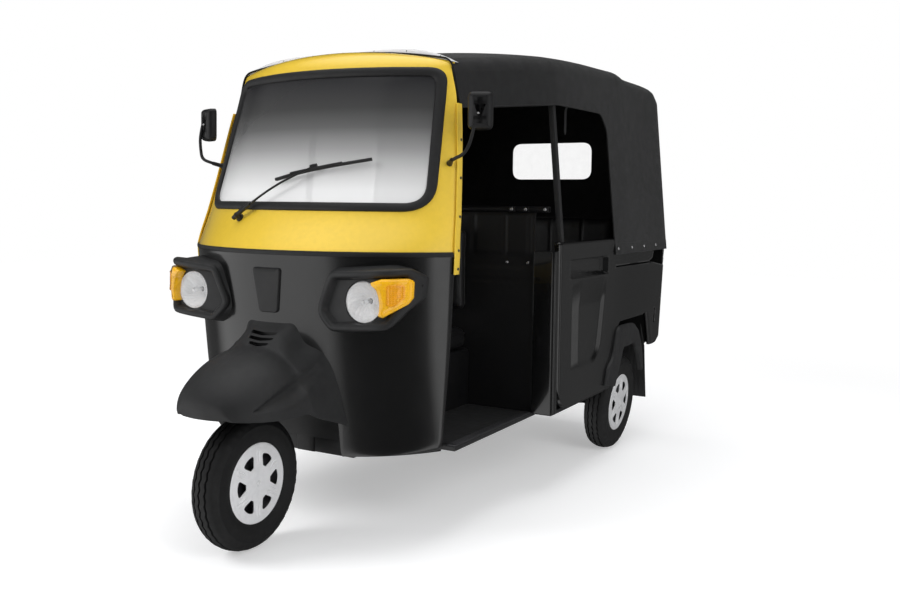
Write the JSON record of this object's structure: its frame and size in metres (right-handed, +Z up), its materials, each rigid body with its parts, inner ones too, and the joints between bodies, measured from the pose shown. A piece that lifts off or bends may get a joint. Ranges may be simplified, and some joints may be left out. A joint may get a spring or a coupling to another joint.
{
  "type": "auto rickshaw",
  "caption": "Passenger auto rickshaw: open cab, wide windshield, fabric canopy, steered single front wheel, cambered rear wheels and a rear engine flap.",
  "frame": {"origin": "bottom centre of the bounding box, on the ground", "axes": "-Y forwards, +X the vehicle's left, +Z up"},
  "size_m": [1.444, 2.97, 1.9479],
  "materials": {
    "frame": "satin black paint",
    "dark_plastic": "grained black",
    "charcoal": "satin charcoal paint",
    "charcoal_plastic": "moulded charcoal",
    "yellow": "gloss warm yellow paint",
    "rubber": "matt",
    "glass": "clear",
    "lamp": "clear lens over a bright reflector",
    "amber": "translucent amber",
    "tail_red": "translucent red",
    "vinyl": "black vinyl",
    "iron": "bare castings",
    "steel": "dark steel",
    "canvas": "black coated canvas",
    "tyre": "matt",
    "silver": "silver wheel cover"
  },
  "bodies": {
    "body": {"chassis_frame": "frame", "floor_pan": "frame", "steering_head": "frame", "rear_deck": "frame", "wheel_well": "dark_plastic", "front_cowl": "charcoal", "windshield_surround": "yellow", "windshield_gasket": "rubber", "windshield_glass": "glass", "wiper": "dark_plastic", "mirror_left": "dark_plastic", "mirror_right": "dark_plastic", "headlamp_pods": "dark_plastic", "headlamps": "lamp", "indicators": "amber", "front_mudguard": "charcoal_plastic", "dashboard": "dark_plastic", "driver_seat_base": "frame", "driver_cushion": "vinyl", "driver_backrest": "vinyl", "partition": "frame", "b_pillars": "charcoal", "side_panel_left": "charcoal", "rear_quarter_left": "charcoal", "rear_quarter_right": "charcoal", "arch_flares": "charcoal_plastic", "mud_flaps": "rubber", "tail_panel": "charcoal", "tail_lamps": "tail_red", "engine_block": "iron", "trailing_arms": "steel", "rear_shocks": "steel", "drive_shafts": "steel", "passenger_cushion": "vinyl", "passenger_backrest": "vinyl", "canopy": "canvas", "canopy_bows": "frame", "rear_window": "glass"},
    "steering": {"handlebar": "frame", "front_fork": "steel", "front_link": "steel"},
    "front_wheel": {"front_tyre": "tyre", "front_rim": "silver"},
    "rear_left_wheel": {"rear_left_tyre": "tyre", "rear_left_rim": "silver"},
    "rear_right_wheel": {"rear_right_tyre": "tyre", "rear_right_rim": "silver"},
    "engine_flap": {"engine_flap": "charcoal"}
  },
  "joints": [
    {"name": "steering", "type": "hinge", "parent": "body", "child": "steering", "pos_m": [0, -0.98974, 0.72255], "axis": [0, 0.3616, 0.9323], "range_deg": [-35, 35]},
    {"name": "front_wheel_spin", "type": "hinge", "parent": "steering", "child": "front_wheel", "pos_m": [0, -1.22, 0.24], "axis": [1, 0, 0], "continuous": true},
    {"name": "rear_left_wheel_spin", "type": "hinge", "parent": "body", "child": "rear_left_wheel", "pos_m": [0.61, 0.844, 0.23939], "axis": [0.9962, 0, -0.0872], "continuous": true},
    {"name": "rear_right_wheel_spin", "type": "hinge", "parent": "body", "child": "rear_right_wheel", "pos_m": [-0.61, 0.844, 0.23939], "axis": [0.9962, 0, 0.0872], "continuous": true},
    {"name": "engine_flap_hinge", "type": "hinge", "parent": "body", "child": "engine_flap", "pos_m": [0, 1.46326, 0.906], "axis": [1, 0, 0], "range_deg": [0, 75]}
  ]
}
